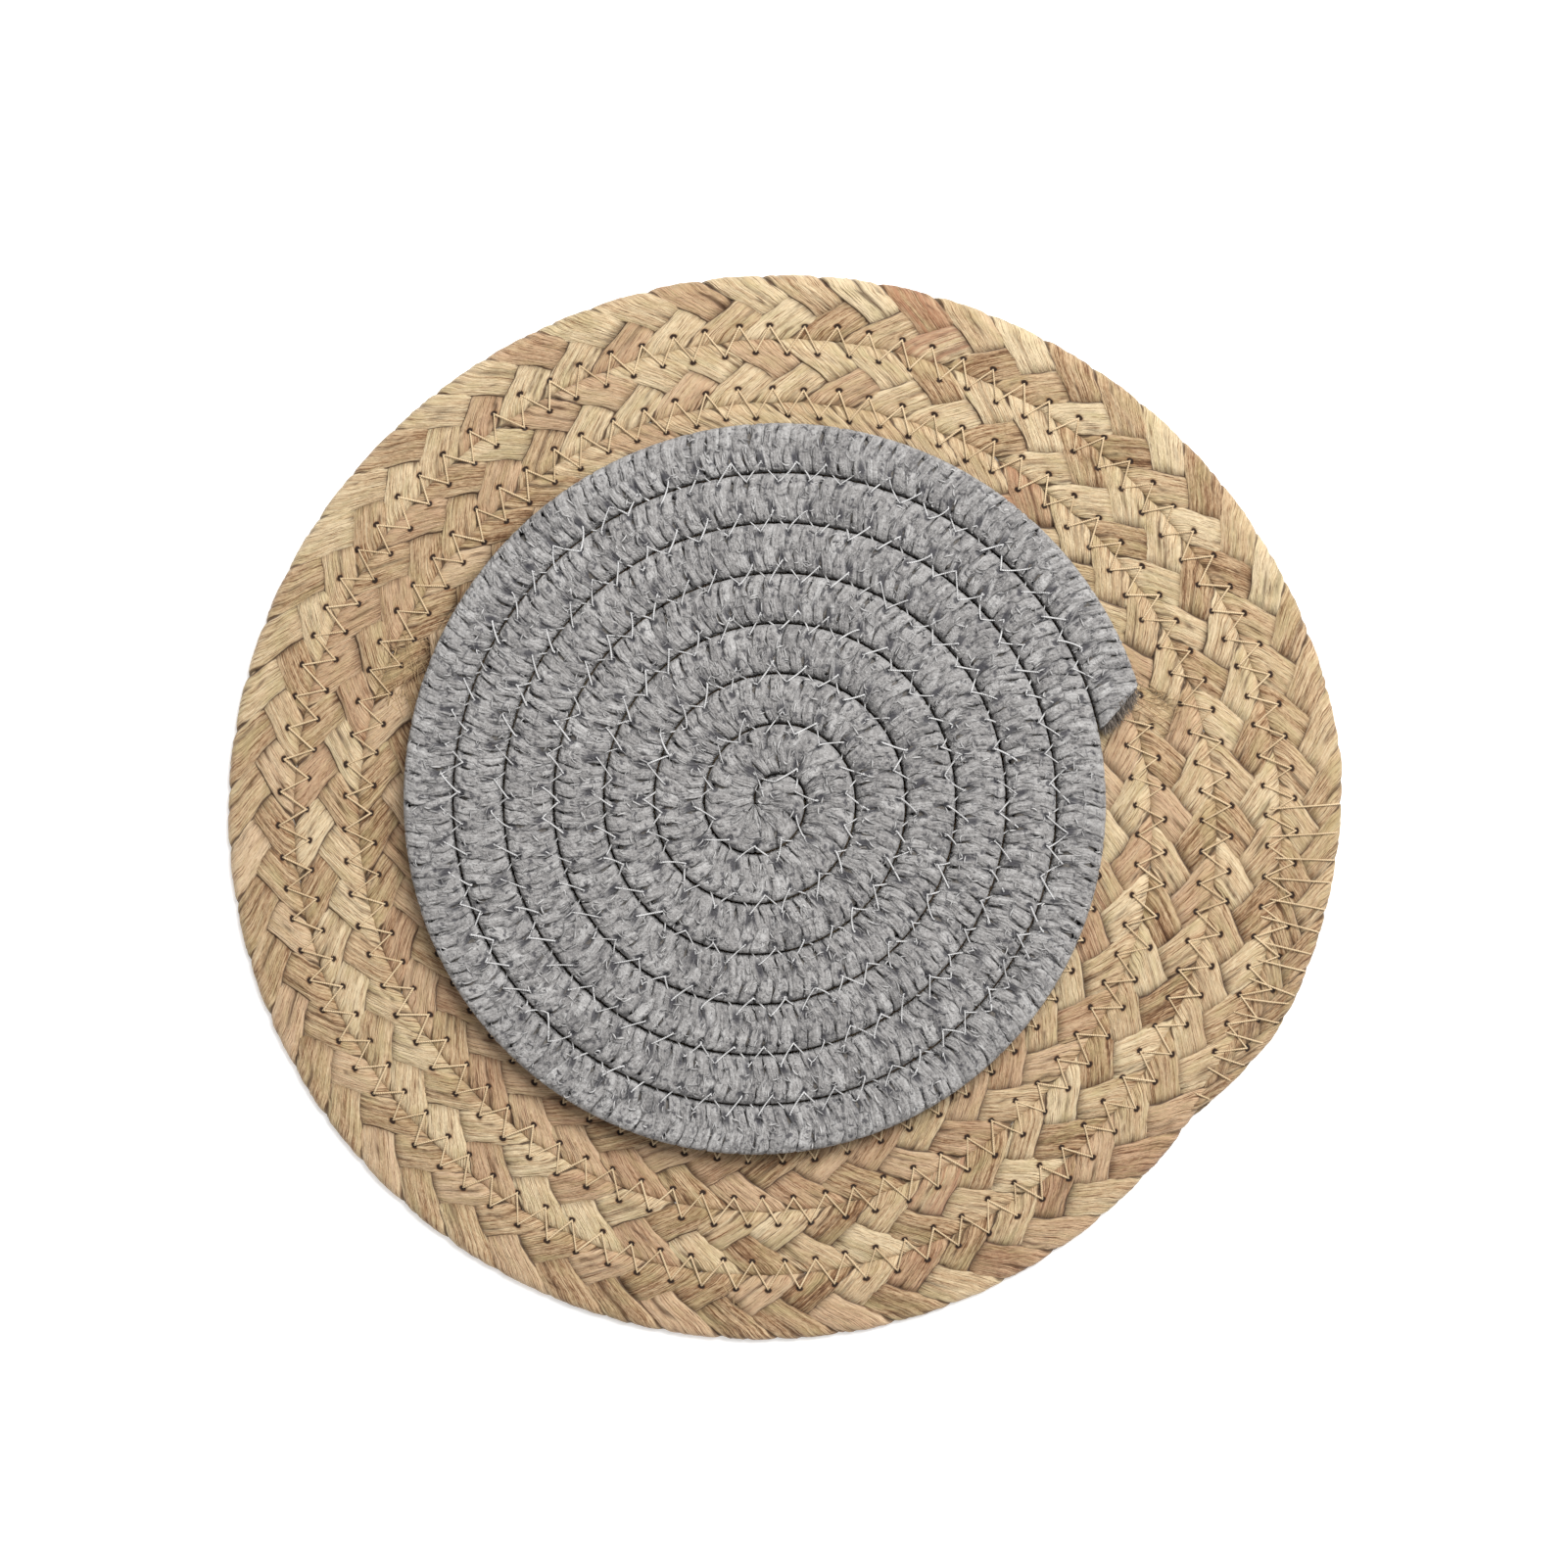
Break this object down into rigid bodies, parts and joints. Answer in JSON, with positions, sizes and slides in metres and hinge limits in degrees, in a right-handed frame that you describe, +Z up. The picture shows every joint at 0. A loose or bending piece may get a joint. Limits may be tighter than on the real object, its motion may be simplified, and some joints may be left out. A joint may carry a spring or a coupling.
{
  "type": "chair seat pad",
  "caption": "Round seat pad: a coiled, zigzag-sewn plaited straw mat with a smaller coiled cotton rope disc lying on it, off its middle.",
  "frame": {"origin": "middle of the straw mat's bounding box, on its underside", "axes": "+X along the mat's longer side, +Y along its shorter side, +Z up out of the mat"},
  "size_m": [0.3601, 0.3446, 0.0175],
  "materials": {
    "straw": "matt plaited straw with a faint sheen along the grain",
    "mat_thread": "matt tan sewing thread",
    "cotton_cover": "soft matt grey braided cotton",
    "cotton_core": "loose pale grey cotton filler",
    "rope_thread": "matt pale grey sewing thread"
  },
  "bodies": {
    "mat": {"husk_strand_a": "straw", "husk_strand_b": "straw", "husk_strand_c": "straw", "mat_needle_thread": "mat_thread", "mat_bobbin_thread": "mat_thread", "tail_binding_thread": "mat_thread"},
    "rope_disc": {"rope_cover": "cotton_cover", "rope_core": "cotton_core", "rope_needle_thread": "rope_thread", "rope_bobbin_thread": "rope_thread"}
  },
  "joints": [
    {"name": "rope_disc_lift", "type": "slide", "parent": "mat", "child": "rope_disc", "axis": [0, 0, 1], "range_m": [0, 0.08]}
  ]
}
